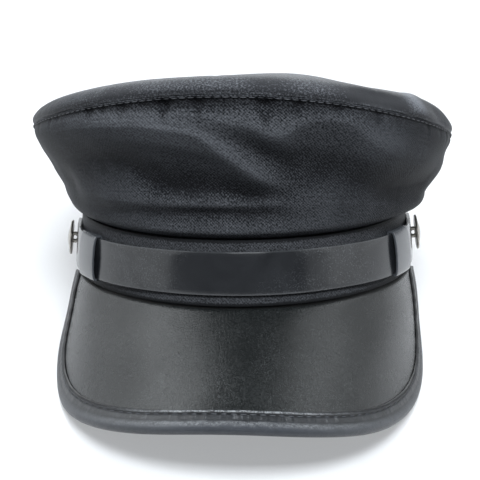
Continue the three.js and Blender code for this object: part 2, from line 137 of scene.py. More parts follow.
# Broad bulges of the wall: angle and half-width in degrees, share of the height and half-width, and mm
WALL_BULGES = [
    # angle, wide, rise, tall, bulge
    (82, 38, 0.42, 0.34, 4.6),
    (-84, 34, 0.74, 0.26, 1.7),
    (78, 34, 0.86, 0.14, 0.8),
    (82, 34, 0.08, 0.11, 3.6),
    (-84, 34, 0.13, 0.12, 1.6),
]

# Dimples where the cloth is gathered into the top seam: angle, depth, half-width and how far down they run
GATHERS = [
    (-19, 1.3, 2.6, 10),
    (-10.5, 1.0, 2.2, 10),
    (5, 1.6, 3.4, 11),
    (13, 0.7, 2.4, 7),
    (-30, 0.6, 2.4, 8),
    (-40, 0.7, 2.6, 7),
    (23, 0.5, 2.2, 6),
    (34, 0.5, 2.6, 6),
]
RANDOM_GATHERS = 46
GATHER_DEPTH = 1.5


def blend_table(x, xs, ys):
    """A smooth curve through a table's points, with x and y in arrays."""
    xs, ys = np.array(xs, float), np.array(ys, float)
    slopes = np.gradient(ys, xs)
    i = np.clip(np.searchsorted(xs, x, side="right") - 1, 0, len(xs) - 2)
    width = xs[i + 1] - xs[i]
    t = (x - xs[i]) / width
    start = (1 + 2 * t) * (1 - t) ** 2 * ys[i] + t * (1 - t) ** 2 * width * slopes[i]
    end = t**2 * (3 - 2 * t) * ys[i + 1] + t**2 * (t - 1) * width * slopes[i + 1]
    return start + end


def ease(x, low, high):
    """0 below low, 1 above high, and smooth between them."""
    t = np.clip((x - low) / (high - low), 0, 1)
    return t * t * (3 - 2 * t)


def bump_at(distance, width):
    """1 where the distance is 0, and fading to nothing over about twice the width."""
    return np.exp(-((distance / width) ** 2))


def turned_from(angle, at):
    """The turn from one direction to another, in degrees from -180 to 180."""
    return (np.degrees(angle) - at + 180) % 360 - 180


def on_oval(angle, half_width, half_depth, height):
    """Places at a height on an oval round the head."""
    x = half_width * np.sin(angle)
    y = -half_depth * np.cos(angle)
    return np.stack([x, y, height + 0 * angle], axis=-1)


def crown_height(angle, out=1.0):
    """Height of the top seam over the band, or of the flat top at a share of the way out to that seam."""
    forward = out * np.cos(angle)
    slope = (CROWN_FRONT_HEIGHT - CROWN_BACK_HEIGHT) / 2
    arch = (CROWN_FRONT_HEIGHT + CROWN_BACK_HEIGHT) / 2 - CROWN_SIDE_HEIGHT
    return CROWN_SIDE_HEIGHT + slope * forward + arch * forward**2 - CROWN_LEAN * np.sin(angle) * out**8


def front_lift(angle, rise):
    """Lift of the front's crests and hollows, with smooth slopes from each line to the next."""
    turn = np.clip(np.degrees(angle), FRONT_ANGLES[0], FRONT_ANGLES[-1])
    lines = [(np.ones_like(angle), np.zeros_like(angle))]
    for heights, lifts in FRONT_LINES.values():
        lines.append((blend_table(turn, FRONT_ANGLES, heights), blend_table(turn, FRONT_ANGLES, lifts)))
    lines.append((np.zeros_like(angle), np.zeros_like(angle)))
    lift = np.zeros_like(angle)
    for (above, high), (below, low) in zip(lines, lines[1:]):
        t = np.clip((rise - below) / np.maximum(above - below, 0.004), 0, 1)
        t = 0.35 * t + 0.65 * t * t * (3 - 2 * t)
        lift = np.where((rise <= above) & (rise > below), low + (high - low) * t, lift)
    return FRONT_DEPTH * lift * (1 - ease(np.abs(np.degrees(angle)), 56, 86))


def wall_lift(angle, rise):
    """How far the folds lift the wall's cloth, with its two seams left in place."""
    girth = BAND_HALF_DEPTH
    height = crown_height(angle)
    lift = front_lift(angle, rise)
    for a, rise_a, b, rise_b, bow, above, below, out in WALL_FOLDS:
        turn = turned_from(angle, a)
        climb = (rise_b - rise_a) * 0.9 * crown_height(math.radians(a))
        along = np.array([math.radians(b - a) * girth, climb])
        length = np.hypot(*along)
        direction = along / length
        x = np.radians(turn) * girth
        y = (rise - rise_a) * height
        run = x * direction[0] + y * direction[1]
        side = y * direction[0] - x * direction[1]
        share = np.clip(run / length, 0, 1)
        side = side - bow * 4 * share * (1 - share)
        past = np.maximum(0, np.maximum(-run, run - length))
        width = np.where(side > 0, above, below)
        fade = 1.4 * (above + below) / 2
        lift += out * bump_at(side, width) * bump_at(past, fade)
    return lift * ease(rise, 0.0, 0.04) * (1 - ease(rise, 0.97, 1.0))


def gather_lift(angle, down):
    """The dimples under the top seam, at a distance in mm below it."""
    random = np.random.default_rng(5)
    gathers = list(GATHERS)
    for k in range(RANDOM_GATHERS):
        at = -180 + 360 * (k + random.uniform(0.1, 0.9)) / RANDOM_GATHERS
        gathers.append((at, random.uniform(0.15, 0.55), random.uniform(1.2, 2.6), random.uniform(3, 7)))
    lift = np.zeros_like(angle)
    for at, depth, width, reach in gathers:
        turn = np.radians(turned_from(angle, at)) * SEAM_RADIUS
        narrowed = width * (1.3 - 0.6 * np.clip(down / reach, 0, 1))
        lift -= depth * bump_at(turn, narrowed) * bump_at(down, reach)
    return lift * ease(down, 0, 2.5)


def crown_point(angle, rise, out=0.0):
    """Places on the crown's outer face, moved out from it by a distance."""
    flare = blend_table(rise, WALL_RISE, WALL_FLARE)
    end_flare = np.where(np.cos(angle) > 0, CROWN_FRONT_FLARE, CROWN_BACK_FLARE)
    half_width = BAND_HALF_WIDTH + CROWN_SIDE_FLARE * flare + out
    half_depth = BAND_HALF_DEPTH + end_flare * flare + out
    return on_oval(angle, half_width, half_depth, BAND_HEIGHT + SEAM_GAP + rise * crown_height(angle))


def wall_point(angle, rise, from_edge):
    """The finished wall: folds, gathers, the welt along its top seam and its edges turned in at the seams."""
    down = (1 - rise) * crown_height(angle)
    above_band = rise * crown_height(angle)
    out = wall_lift(angle, rise) + GATHER_DEPTH * gather_lift(angle, down)
    for at, wide, at_rise, tall, bulge in WALL_BULGES:
        turn = turned_from(angle, at)
        out = out + bulge * bump_at(turn, wide) * bump_at(rise - at_rise, tall)
    welt = 0.4 * bump_at(down - 0.7, 0.6) - 0.2 * bump_at(down - 1.7, 0.6)
    turned_in = 0.4 * bump_at(down, 0.4) + 0.05 * bump_at(from_edge, 0.6)
    turned_in = turned_in + 1.6 * (1 - ease(above_band, -0.6, 1.6))
    ripple = 0.14 * np.sin(rise * 75 + 3 * np.sin(rise * 23)) * bump_at(from_edge - 1.5, 3)
    return crown_point(angle, rise, out + welt - turned_in + ripple)


def wall_painted_light(angle, rise):
    """Painted light and shade on the wall's cloth: a painted highlight on its crests and, below 0, painted
    shade in its hollows and gathers, under the top seam, just over the band and towards the sides.
    """
    down = (1 - rise) * crown_height(angle)
    above_band = rise * crown_height(angle)
    crest = 0.55 * wall_lift(angle, rise) / FRONT_DEPTH + 1.6 * gather_lift(angle, down)
    edges = -0.9 * bump_at(down - 1.2, 1.0) - 2.5 * (1 - ease(above_band, 0, 1.8))
    # painted shade towards both sides of the front, more on the right
    away = ease(np.degrees(angle), 24, 60) * 1.1 + ease(-np.degrees(angle), 28, 62) * 0.5
    return np.clip(crest, -1.2, 1.0) + edges - away * ease(100 - np.abs(np.degrees(angle)), 0, 30)


def stand(points):
    """Places in mm in the cap's own frame, as metres on the table."""
    turn = np.array(standing)
    return points / 1000 @ turn[:3, :3].T + turn[:3, 3]


def only(piece):
    """Selects one piece alone."""
    bpy.ops.object.select_all(action="DESELECT")
    piece.select_set(True)
    bpy.context.view_layer.objects.active = piece


def edit_all(piece, edit, **settings):
    """Runs one editing step on the whole of a piece."""
    only(piece)
    bpy.ops.object.mode_set(mode="EDIT")
    bpy.ops.mesh.select_all(action="SELECT")
    edit(**settings)
    bpy.ops.object.mode_set(mode="OBJECT")


def apply_modifier(piece, kind, **settings):
    only(piece)
    modifier = piece.modifiers.new(kind.lower(), kind)
    for name, value in settings.items():
        setattr(modifier, name, value)
    bpy.ops.object.modifier_apply(modifier=modifier.name)


def round_edges(piece, width, segments, least_angle):
    """Rounds the edges that turn by more than an angle in degrees, over a width in mm."""
    apply_modifier(
        piece,
        "BEVEL",
        width=width / 1000,
        segments=segments,
        limit_method="ANGLE",
        angle_limit=math.radians(least_angle),
    )


def smooth_shading(piece, angle):
    """Shades a piece smooth where it turns by less than an angle in degrees."""
    only(piece)
    bpy.ops.object.shade_smooth_by_angle(angle=math.radians(angle))


def cloth_grid(name, columns, rows, place, closed=False):
    """A grid primitive whose points are moved to where place says, given how far across and up each lies,
    from 0 to 1. place returns the points and their place on the flat cloth, both in mm, and the light and
    shade painted at each point: paler above 0, painted shade below. A closed grid is merged where its ends
    meet."""
    bpy.ops.mesh.primitive_grid_add(x_subdivisions=columns, y_subdivisions=rows, size=1)
    piece = bpy.context.object
    piece.name = piece.data.name = name
    mesh = piece.data
    flat = np.empty(len(mesh.vertices) * 3)
    mesh.vertices.foreach_get("co", flat)
    across, up = np.clip(flat.reshape(-1, 3)[:, :2].T + 0.5, 0, 1)
    points, cloth, painted_light_and_shade = place(across, up)
    mesh.vertices.foreach_set("co", stand(points).ravel())
    # the painted light and shade is kept on the points for the materials to read
    mesh.attributes.new("painted_light_and_shade", "FLOAT", "POINT").data.foreach_set("value", painted_light_and_shade.astype(np.float32))
    corners = np.empty(len(mesh.loops), int)
    mesh.loops.foreach_get("vertex_index", corners)
    mesh.uv_layers.active.data.foreach_set("uv", (np.stack(cloth, axis=-1)[corners] / 1000).ravel())
    if closed:
        edit_all(piece, bpy.ops.mesh.remove_doubles, threshold=MERGE_DISTANCE / 1000)
    mesh.update()
    return piece


def thicken(piece, wall, offset=-1, rounding=0.0):
    """Gives a sheet its thickness in mm and rounds its edges."""
    apply_modifier(piece, "SOLIDIFY", thickness=wall / 1000, offset=offset, use_even_offset=False)
    if rounding:
        round_edges(piece, rounding, 3, 60)
    smooth_shading(piece, 62)


class Wire:
    """A number, colour or vector that comes out of a shader node. Sums, differences and products add their
    Math nodes, and node adds any other."""

    def __init__(self, tree, socket=None):
        self.tree = tree
        self.socket = socket

    def node(self, kind, settings=(), inputs=(), output=0):
        new = self.tree.nodes.new(kind)
        for name, value in dict(settings).items():
            if name == "stops":
                ramp = new.color_ramp
                for k, (at, shade) in enumerate(value):
                    stop = ramp.elements[k] if k < 2 else ramp.elements.new(at)
                    stop.position = at
                    stop.color = (shade, shade, shade, 1)
            else:
                setattr(new, name, value)
        for name, value in dict(inputs).items():
            if isinstance(value, Wire):
                self.tree.links.new(value.socket, new.inputs[name])
            else:
                new.inputs[name].default_value = value
        return Wire(self.tree, new.outputs[output])

    def math(self, operation, *values):
        return self.node("ShaderNodeMath", {"operation": operation}, enumerate(values))

    def __add__(self, other):
        return self.math("ADD", self, other)

    def __sub__(self, other):
        return self.math("SUBTRACT", self, other)

    def __rsub__(self, other):
        return self.math("SUBTRACT", other, self)

    def __mul__(self, other):
        return self.math("MULTIPLY", self, other)

    __radd__ = __add__
    __rmul__ = __mul__

    def coordinates(self, kind):
        """A piece's own coordinates: "Object" in the room, or "UV" on its flat cloth."""
        return self.node("ShaderNodeTexCoord", output=kind)

    def axis(self, number):
        return self.node("ShaderNodeSeparateXYZ", inputs={0: self}, output=number)

    def sine(self):
        return self.math("SINE", self)

    def off(self, value):
        """How far this number is from a value, to either side."""
        return self.math("ABSOLUTE", self - value)

    def between(self, low, high):
        """0 at low and 1 at high, kept between them."""
        inputs = {"Value": self, "From Min": low, "From Max": high}
        return self.node("ShaderNodeMapRange", {"clamp": True}, inputs)

    def noise(self, scale, detail=2.0, roughness=0.5, distortion=0.0):
        """Cloudy noise at this place, from 0 to 1, with its scale in features per metre."""
        inputs = {
            "Vector": self,
            "Scale": scale,
            "Detail": detail,
            "Roughness": roughness,
            "Distortion": distortion,
        }
        return self.node("ShaderNodeTexNoise", {"noise_dimensions": "3D"}, inputs)

    def tint(self, under, over):
        """A colour laid over another by this number."""
        inputs = {0: self, 6: under, 7: (*over, 1)}
        return self.node("ShaderNodeMix", {"data_type": "RGBA"}, inputs, output=2)

    def tint_noise(self, scale, size):
        """A vector that wanders by a size in metres, from the colours of a noise."""
        inputs = {"Vector": self, "Scale": scale, "Detail": 2.0}
        noise = self.node("ShaderNodeTexNoise", {"noise_dimensions": "3D"}, inputs, output=1)
        centred = noise.node("ShaderNodeVectorMath", {"operation": "SUBTRACT"}, {0: noise, 1: (0.5,) * 3})
        return centred.node("ShaderNodeVectorMath", {"operation": "MULTIPLY"}, {0: centred, 1: (size,) * 3})

    def blend(self, dark, light):
        """A colour between two, by this number."""
        inputs = {0: self, 6: (*dark, 1), 7: (*light, 1)}
        return self.node("ShaderNodeMix", {"data_type": "RGBA"}, inputs, output=2)


def new_material(name, **constants):
    """A material whose shader has these constants, its shader node and a wire to start from."""
    material = bpy.data.materials.new(name)
    material.use_nodes = True
    shader = material.node_tree.nodes["Principled BSDF"]
    for socket, value in constants.items():
        shader.inputs[socket.replace("_", " ")].default_value = value
    return material, shader, Wire(material.node_tree)


def wire_up(wire, shader, height, distance, strength=1.0, **sockets):
    """Links a shader's colour, roughness and the like, and a bump of this height and depth in mm."""
    bump = wire.node(
        "ShaderNodeBump", inputs={"Height": height, "Distance": distance / 1000, "Strength": strength}
    )
    wire.tree.links.new(bump.socket, shader.inputs["Normal"])
    for socket, value in sockets.items():
        wire.tree.links.new(value.socket, shader.inputs[socket.replace("_", " ")])


# The twill: fine crossing ribs about a millimetre apart, in charcoal yarn with a satin lustre
TWILL_PITCH = 1.12
TWILL_SLANT = math.radians(40)


def make_twill(name, dark, light, ribs=1.0, lustre=0.05):
    material, shader, start = new_material(
        name,
        Sheen_Weight=0.012,
        Sheen_Roughness=0.4,
        Sheen_Tint=(0.7, 0.78, 0.9, 1),
        Specular_IOR_Level=lustre,
    )
    cloth = start.coordinates("UV")
    place = start.coordinates("Object")
    wobble = cloth.noise(420, 3, 0.6) * 0.0016
    across = cloth.axis(0) + wobble
    up = cloth.axis(1) + wobble
    turns = 2 * math.pi * 1000 / TWILL_PITCH
    falling = (across * (turns * math.sin(TWILL_SLANT)) + up * (turns * math.cos(TWILL_SLANT))).sine()
    climbing = (across * (-turns * math.sin(TWILL_SLANT)) + up * (turns * math.cos(TWILL_SLANT))).sine()
    yarn = (falling * 0.22 + climbing * 0.13 + 0.5) * ribs
    fuzz = cloth.noise(900, 2, 0.8).between(0.32, 0.68)
    patch = place.noise(70, 4, 0.65)
    painted_light_and_shade = start.node("ShaderNodeAttribute", {"attribute_name": "painted_light_and_shade"}, output=2)
    weave = yarn * (0.25 + patch) * 0.75 + fuzz * 0.55
    # the piece's painted light and shade makes the weave paler or darker
    colour = (weave + painted_light_and_shade * 0.2).between(0.3, 0.95).blend(dark, light)
    wire_up(
        start,
        shader,
        weave,
        0.16,
        0.7,
        Base_Color=colour,
        Roughness=0.4 + patch * 0.1 + fuzz * 0.12,
    )
    return material


twill = make_twill("charcoal_twill", (0.006, 0.0064, 0.0075), (0.064, 0.068, 0.076))
# the top's twill is the wall's coloured over twice as light, a painted sheen
top_twill_painted_paler = make_twill("top_twill_painted_paler", (0.018, 0.019, 0.0215), (0.15, 0.159, 0.177), ribs=0.35, lustre=0.14)

PANEL_GRID_STEP = 0.85

# Each panel's ends as angles, the width and height that it is cut to and its flat area, in metres
PANELS = {
    "crown_front_panel": (-PANEL_SEAM, PANEL_SEAM, 0.212, 0.078, 0.0144),
    "crown_right_panel": (PANEL_SEAM, math.pi, 0.256, 0.064, 0.0107),
    "crown_left_panel": (-math.pi, -PANEL_SEAM, 0.256, 0.064, 0.0117),
}
for node, (first, last, cut_width, cut_height, cut_area) in PANELS.items():
    half_gap = PANEL_END_GAP / BAND_HALF_WIDTH

    def place_wall(across, up):
        # rows crowd towards the top seam, where the welt and the gathers are fine
        rise = 1 - 1.03 * (1 - up) ** 1.35
        angle = first + half_gap + (last - first - 2 * half_gap) * across
        from_edge = np.minimum(angle - first, last - angle) * BAND_HALF_DEPTH
        cloth = (angle * (BAND_HALF_DEPTH + 6), rise * CROWN_FRONT_HEIGHT)
        return wall_point(angle, rise, from_edge), cloth, wall_painted_light(angle, rise)

    columns = round((last - first) * BAND_HALF_DEPTH / PANEL_GRID_STEP)
    panel = cloth_grid(node.replace("_panel", "_cloth"), columns, 84, place_wall)
    thicken(panel, CROWN_WALL)
    panel.data.materials.append(twill)
    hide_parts(node)
    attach(panel, "root")


# The top of the crown: one round panel of the same twill, smoother from wear, and coloured over twice as
# light as the wall for a painted sheen. It is puffed over its seam, its rim rolls over the wall's edge, and a
# few soft dents lie across it.

TOP_PUFF = 15.6
TOP_SIDE_PUFF = 1.8
TOP_WALL = 1.8
TOP_ROLL = 0.9
TOP_RADIUS = BAND_HALF_DEPTH + 8
RIM_GATHERS = 64

# Dents and swells: angle from the front and share of the way out to the seam, half-widths along and across
# that direction as shares, and depth in mm
TOP_DENTS = [
    # angle, out, along, across, depth
    (40, 0.86, 0.07, 0.2, 2.6),
    (52, 0.93, 0.05, 0.1, -1.2),
    (-28, 0.60, 0.2, 0.24, 2.0),
    (110, 0.66, 0.2, 0.26, 2.4),
    (-150, 0.60, 0.2, 0.28, 2.4),
    (0, 0.10, 0.3, 0.3, -1.6),
    (-62, 0.84, 0.06, 0.16, 1.2),
    (14, 0.82, 0.07, 0.14, -1.0),
    (-10, 0.88, 0.05, 0.16, 0.8),
    (165, 0.80, 0.08, 0.2, 1.4),
    (-105, 0.82, 0.08, 0.2, 1.2),
]

# Folds down the side of the puff, just over the seam: angle and half-width in degrees, place and half-height
# as shares of the way up the puff, and depth in mm
TOP_RIM_FOLDS = [
    # angle, wide, up, tall, depth
    (34, 8, 0.30, 0.28, 2.4),
    (62, 6, 0.30, 0.32, 2.2),
    (49, 4, 0.45, 0.40, -1.2),
    (-31, 6, 0.20, 0.20, 0.6),
    (6, 5, 0.30, 0.30, 0.5),
    (-66, 6, 0.30, 0.30, 0.8),
    (150, 9, 0.30, 0.30, 1.0),
    (-140, 9, 0.30, 0.30, 1.0),
]


def top_lift(angle, out, folded=None):
    """The dents and swells that lie across the top, or, for its painted light and shade, how sharply each is
    folded.
    """
    x, y = out * np.sin(angle), out * np.cos(angle)
    lift = np.zeros_like(angle)
    for at, at_out, along, across, depth in TOP_DENTS:
        dx = x - at_out * math.sin(math.radians(at))
        dy = y - at_out * math.cos(math.radians(at))
        outward = dx * math.sin(math.radians(at)) + dy * math.cos(math.radians(at))
        around = dx * math.cos(math.radians(at)) - dy * math.sin(math.radians(at))
        depth = depth if folded is None else depth * folded / along
        lift -= depth * bump_at(outward, along) * bump_at(around, across)
    return lift


def puffed(out):
    """How far up the puff a place lies, from 0 at the seam to 1 at the middle."""
    return np.maximum(0, 1 - out**7) ** 0.42


def rim_fold(angle, out):
    """How deep the folds down the side of the puff are."""
    depth = np.zeros_like(angle)
    for at, wide, up, tall, deep in TOP_RIM_FOLDS:
        turn = turned_from(angle, at)
        depth += deep * bump_at(turn, wide) * bump_at(puffed(out) - up, tall)
    return depth * ease(puffed(out), 0, 0.12) * (1 - ease(puffed(out), 0.8, 1))


def top_point(angle, out):
    """Places on the top, out from 0 at its middle to 1 at its seam."""
    rim = crown_point(angle, np.ones_like(angle))
    puff = TOP_PUFF + TOP_SIDE_PUFF * (out * np.sin(angle)) ** 2
    height = puff * puffed(out)
    height = height + top_lift(angle, out) * (1 - ease(out, 0.94, 1))
    random = np.random.default_rng(11)
    from_rim = (1 - out) * BAND_HALF_DEPTH
    for k in range(RIM_GATHERS):
        at = math.radians(360 * (k + random.uniform(0.1, 0.9)) / RIM_GATHERS)
        turn = ((angle - at + math.pi) % (2 * math.pi) - math.pi) * SEAM_RADIUS
        depth, width, reach = random.uniform(0.1, 0.5), random.uniform(1.3, 2.8), random.uniform(3, 9)
        height = height - depth * bump_at(turn, width) * bump_at(from_rim, reach) * ease(out, 0.2, 0.6)
    rolled = TOP_ROLL * bump_at(height - 3, 3) * ease(out, 0.9, 1) - 0.35 * bump_at(from_rim, 0.04)
    rolled = rolled - rim_fold(angle, out)
    x = rim[:, 0] * out + rolled * np.sin(angle)
    y = rim[:, 1] * out - rolled * np.cos(angle)
    z = BAND_HEIGHT + 2 * SEAM_GAP + crown_height(angle, out) + height
    return np.stack([x, y, z], axis=-1)


def place_top(across, up):
    angle = math.pi - 2 * math.pi * (1 - across)
    # rows crowd towards the seam, where the rim rolls and folds
    out = 1 - up**3.2
    points = top_point(angle, out)
    # the cloth lies flat as far out as its plan, and then as much further as it drops to the rim
    drop = BAND_HEIGHT + TOP_PUFF + crown_height(angle, out) - points[:, 2]
    flat = TOP_RADIUS * out + 0.9 * drop * ease(out, 0.3, 0.7)
    # painted light and shade on the top: paler on its swells, painted shade in its dents and the folds by the
    # rim, and darker towards the sides near the seam
    painted_light_and_shade = np.minimum(top_lift(angle, out, folded=0.05), 0.4) - 1.6 * rim_fold(angle, out)
    painted_light_and_shade = painted_light_and_shade - 0.3 * ease(np.abs(np.degrees(angle)), 20, 60) * ease(out, 0.8, 0.95)
    return points, (flat * np.sin(angle), -flat * np.cos(angle)), painted_light_and_shade


top = cloth_grid("crown_top_cloth", 560, 76, place_top, closed=True)
thicken(top, TOP_WALL)
top.data.materials.append(top_twill_painted_paler)
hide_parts("crown_top")
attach(top, "root")


# Topstitching: a row of short stitches in worn grey thread on the wall, just under the top seam all round. It
# holds the seam's welt down.

STITCH_LENGTH = 2.9
STITCH_PITCH = 3.8
STITCH_THICKNESS = 0.42
STITCH_BELOW_SEAM = 1.1

thread, shader, start = new_material("grey_thread", Specular_IOR_Level=0.3)
twist = start.coordinates("Object").noise(2600, 2, 0.6)
wire_up(
    start,
    shader,
    twist,
    0.05,
    0.6,
    Base_Color=twist.between(0.3, 0.7).blend((0.035, 0.0375, 0.042), (0.095, 0.1, 0.11)),
    Roughness=0.5 + twist * 0.2,
)


def stitch_row(name, places, outward):
    """One mesh of stitches: a small capsule, modelled once, laid along each stretch between two places and
    sunk a little into the cloth."""
    bpy.ops.mesh.primitive_uv_sphere_add(segments=8, ring_count=6, radius=0.5)
    stitch = bpy.context.object
    sizes = (STITCH_THICKNESS * 1.3, STITCH_THICKNESS, STITCH_LENGTH)
    edit_all(stitch, bpy.ops.transform.resize, value=sizes)
    corners = np.array([v.co for v in stitch.data.vertices])
    # sorted, because the sphere's faces come in a different order each run
    faces = sorted(list(p.vertices) for p in stitch.data.polygons)
    bpy.data.objects.remove(stitch)
    starts, ends = places
    along = ends - starts
    along /= np.linalg.norm(along, axis=1, keepdims=True)
    side = np.cross(outward, along)
    side /= np.linalg.norm(side, axis=1, keepdims=True)
    raised = np.cross(along, side)
    middle = (starts + ends) / 2 + raised * 0.05
    vertices = []
    polygons = []
    for k in range(len(middle)):
        first = len(vertices) * len(corners)
        vertices.append(
            middle[k]
            + corners[:, :1] * side[k]
            + corners[:, 1:2] * raised[k]
            + corners[:, 2:] * along[k]
        )
        polygons += [[first + i for i in face] for face in faces]
    mesh = bpy.data.meshes.new(name)
    mesh.from_pydata(stand(np.concatenate(vertices)).tolist(), [], polygons)
    row = bpy.data.objects.new(name, mesh)
    bpy.context.collection.objects.link(row)
    only(row)
    bpy.ops.object.shade_smooth()
    mesh.materials.append(thread)
    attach(row, "root")
    return row


count = round(2 * math.pi * TOP_RADIUS / STITCH_PITCH)
turns = (np.arange(count) + 0.5) / count * 2 * math.pi - math.pi
half_stitch = STITCH_LENGTH / 2 / TOP_RADIUS


def under_seam(angle):
    rise = 1 - STITCH_BELOW_SEAM / crown_height(angle)
    return wall_point(angle, rise, np.full_like(angle, 9.0))


outward = np.stack([np.sin(turns), -np.cos(turns), 0 * turns], axis=-1)
places = (under_seam(turns - half_stitch), under_seam(turns + half_stitch))
stitch_row("crown_topstitching", places, outward)


# The band: a ring of the same twill over a stiffener, 31 mm high and a little wider at its lower edge. Its
# edges are turned and pressed, and the head goes into it.

BAND_WALL = 2.2

band_twill = make_twill("band_twill", (0.0085, 0.009, 0.01), (0.068, 0.0715, 0.0795), ribs=0.9)


def band_point(angle, height, out=0.0):
    """Places on the band's outer face, moved out from it by a distance."""
    grown = BAND_SPREAD * (1 - height / BAND_HEIGHT) + out
    return on_oval(angle, BAND_HALF_WIDTH + grown, BAND_HALF_DEPTH + grown, height)


def place_band(across, up):
    angle = 2 * math.pi * across - math.pi
    height = BAND_HEIGHT * up
    sag = 0.18 * np.sin(angle * 7 + 1) * np.sin(up * math.pi)
    sag = sag + 0.12 * np.sin(angle * 13) * np.sin(up * math.pi)
    # painted shade along its lower edge and in the seam under the crown
    dark = -4 * (1 - ease(height, 0.2, 0.9)) - 4 * ease(height, BAND_HEIGHT - 1.4, BAND_HEIGHT - 0.5)
    return band_point(angle, height, sag), (angle * (BAND_HALF_DEPTH + 2), height), dark


band = cloth_grid("band_cloth", 360, 16, place_band, closed=True)
thicken(band, BAND_WALL, rounding=0.6)
band.data.materials.append(band_twill)


def press_flat(piece):
    """Moves what lies under the table's top up to it, where the piece is pressed flat by its own weight."""
    height = np.empty(len(piece.data.vertices) * 3)
    piece.data.vertices.foreach_get("co", height)
    height = height.reshape(-1, 3)
    height[:, 2] = np.maximum(height[:, 2], 0)
    piece.data.vertices.foreach_set("co", height.ravel())
    piece.data.update()


press_flat(band)
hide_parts("band")
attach(band, "root")


# The peak: a stiff board covered in fine-grained imitation leather, sewn under the front half of the band. It
# slopes down and wraps the brow, and hangs a little steeper on the right.

PEAK_LENGTH = 70.6
PEAK_FRONT_SCOOP = 4
PEAK_FRONT_SLOPE = 42
PEAK_SIDE_SLOPE = 67
PEAK_TWIST = 6
PEAK_END = math.radians(80.5)
PEAK_LEFT_SPLAY = 0.28
PEAK_RIGHT_SPLAY = 0.18
PEAK_BOARD = 1.8
PEAK_LEFT_CORNER = 4.5
PEAK_RIGHT_CORNER = 3.8
PEAK_FRONT_FLAT = 3.0
PEAK_ROOT = -2.2


def peak_surface(angle, reach):
    """The middle of the board: it leaves the band's lower edge forwards and down, reach mm from that edge."""
    sideways = np.sin(angle) ** 2
    slope = PEAK_FRONT_SLOPE + (PEAK_SIDE_SLOPE - PEAK_FRONT_SLOPE) * sideways + PEAK_TWIST * np.sin(angle)
    slope = np.radians(slope)
    middle, half = (PEAK_LEFT_SPLAY + PEAK_RIGHT_SPLAY) / 2, (PEAK_LEFT_SPLAY - PEAK_RIGHT_SPLAY) / 2
    heading = angle * (middle - half * np.tanh(3 * angle))
    direction = np.stack(
        [np.cos(slope) * np.sin(heading), -np.cos(slope) * np.cos(heading), -np.sin(slope)], axis=-1
    )
    return band_point(angle, 0 * angle, -BAND_WALL / 2) + direction * reach[:, None]


def peak_outline(share):
    """The edge from one end to the other, as angle and reach: an oblong with rounded corners."""
    turn = (share - 0.5) * math.pi
    across, along = np.sin(turn), np.maximum(1e-9, np.cos(turn))
    corner = np.where(across < 0, PEAK_LEFT_CORNER, PEAK_RIGHT_CORNER)
    squared = (np.abs(across) ** corner + along**corner) ** (-1 / corner)
    across, along = across * squared, along * squared
    length = PEAK_LENGTH - PEAK_FRONT_SCOOP * (1 - across**2) - PEAK_FRONT_FLAT * bump_at(across + 0.04, 0.36)
    return PEAK_END * across, along * length


def peak_frame(angle, reach):
    """Slopes of the peak's middle round and outward, and its normal."""
    step = 0.002
    round_ = (peak_surface(angle + step, reach) - peak_surface(angle - step, reach)) / (2 * step)
    outward = (peak_surface(angle, reach + 1) - peak_surface(angle, reach - 1)) / 2
    normal = np.cross(outward, round_)
    return round_, outward, normal / np.linalg.norm(normal, axis=1, keepdims=True)


def peak_warp(angle, reach):
    """Slow unevenness of the covered board, in mm."""
    waves = np.sin(angle * 5.1 + 0.6) * 0.35 + np.sin(angle * 9 + reach * 0.05) * 0.22
    return (waves + 0.2 * np.sin(reach * 0.16 + angle * 4)) * ease(reach, 0, 12)


def place_peak(across, up):
    # columns fan out from even steps along the band to the outline
    edge_angle, edge_reach = peak_outline(across)
    root_angle = PEAK_END * (2 * across - 1)
    angle = root_angle + (edge_angle - root_angle) * (1 - up)
    reach = PEAK_ROOT + (edge_reach - PEAK_ROOT) * (1 - up)
    normal = peak_frame(angle, reach)[2]
    # the cover dips into the seam under the band
    lift = peak_warp(angle, reach) - 1.4 * (1 - ease(reach, 0.9, 2.2))
    points = peak_surface(angle, reach) + normal * lift[:, None]
    return points, (angle * BAND_HALF_DEPTH, reach), 0 * reach


grained_leather, shader, start = new_material(
    "grained_leather", Specular_IOR_Level=0.36, Coat_Roughness=0.32, Coat_IOR=1.45
)
place = start.coordinates("Object")
cover = start.coordinates("UV")
round_front = cover.axis(0)
outward = cover.axis(1)
bent = place.node("ShaderNodeVectorMath", {"operation": "ADD"}, {0: place, 1: place.tint_noise(420, 0.0011)})
cells = bent.node(
    "ShaderNodeTexVoronoi",
    {"feature": "DISTANCE_TO_EDGE"},
    {"Vector": bent, "Scale": 780, "Randomness": 1},
).between(0, 0.14)
pits = place.noise(1500, 3, 0.7)
creases = place.noise(300, 4, 0.65, 1.6)
clouds = place.noise(38, 3, 0.55)
grain = cells * 0.5 + pits * 0.5 + creases * 0.5
